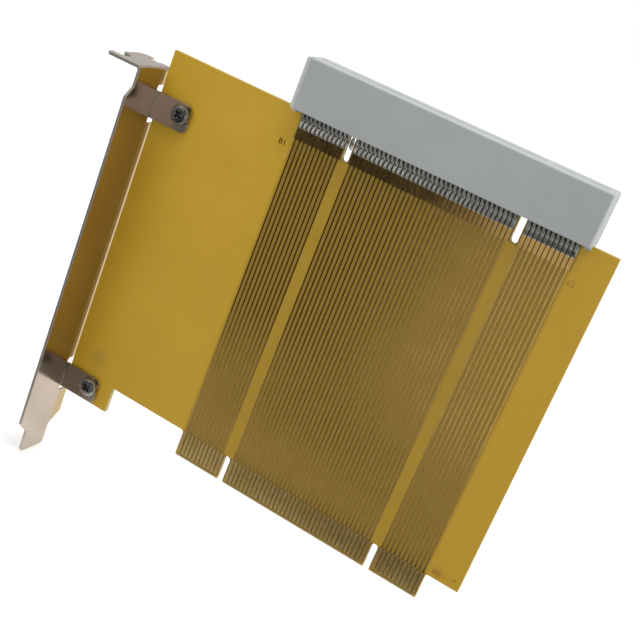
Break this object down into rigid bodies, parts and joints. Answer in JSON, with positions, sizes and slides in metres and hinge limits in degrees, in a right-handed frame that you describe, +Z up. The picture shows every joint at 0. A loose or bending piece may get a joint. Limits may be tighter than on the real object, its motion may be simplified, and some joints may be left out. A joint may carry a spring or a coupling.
{
  "type": "pci extender card",
  "caption": "Upright extender card that lifts an expansion card clear of its slot: keyed edge fingers below, straight copper runs, a straddle socket on top and a folded slot bracket.",
  "frame": {"origin": "middle of the edge tab's foot, on the board's middle plane", "axes": "+X along the contact row away from the bracket, +Y from the component side to the back of the board, +Z up from the edge fingers to the socket"},
  "size_m": [0.1416, 0.0209, 0.1384],
  "materials": {
    "laminate": "satin glass-epoxy sheet",
    "copper_trace": "etched foil, lightly tarnished",
    "gold_finger": "gold-plated foil",
    "socket_plastic": "moulded satin",
    "tinned_contact": "tinned spring strip",
    "bracket_steel": "bright plated sheet",
    "fastener_steel": "bright plated"
  },
  "bodies": {
    "root": {"circuit_board": "laminate", "front_traces_01_11": "copper_trace", "front_traces_14_49": "copper_trace", "front_traces_52_62": "copper_trace", "back_traces_01_11": "copper_trace", "back_traces_14_49": "copper_trace", "back_traces_52_62": "copper_trace", "front_edge_fingers": "gold_finger", "back_edge_fingers": "gold_finger", "socket_housing": "socket_plastic", "front_contacts_01_11": "tinned_contact", "front_contacts_12_13": "tinned_contact", "front_contacts_14_49": "tinned_contact", "front_contacts_52_62": "tinned_contact", "back_contacts_01_11": "tinned_contact", "back_contacts_12_13": "tinned_contact", "back_contacts_14_49": "tinned_contact", "back_contacts_52_62": "tinned_contact", "slot_bracket": "bracket_steel", "upper_screw": "fastener_steel", "upper_nut": "fastener_steel", "lower_screw": "fastener_steel", "lower_nut": "fastener_steel"}
  },
  "joints": []
}
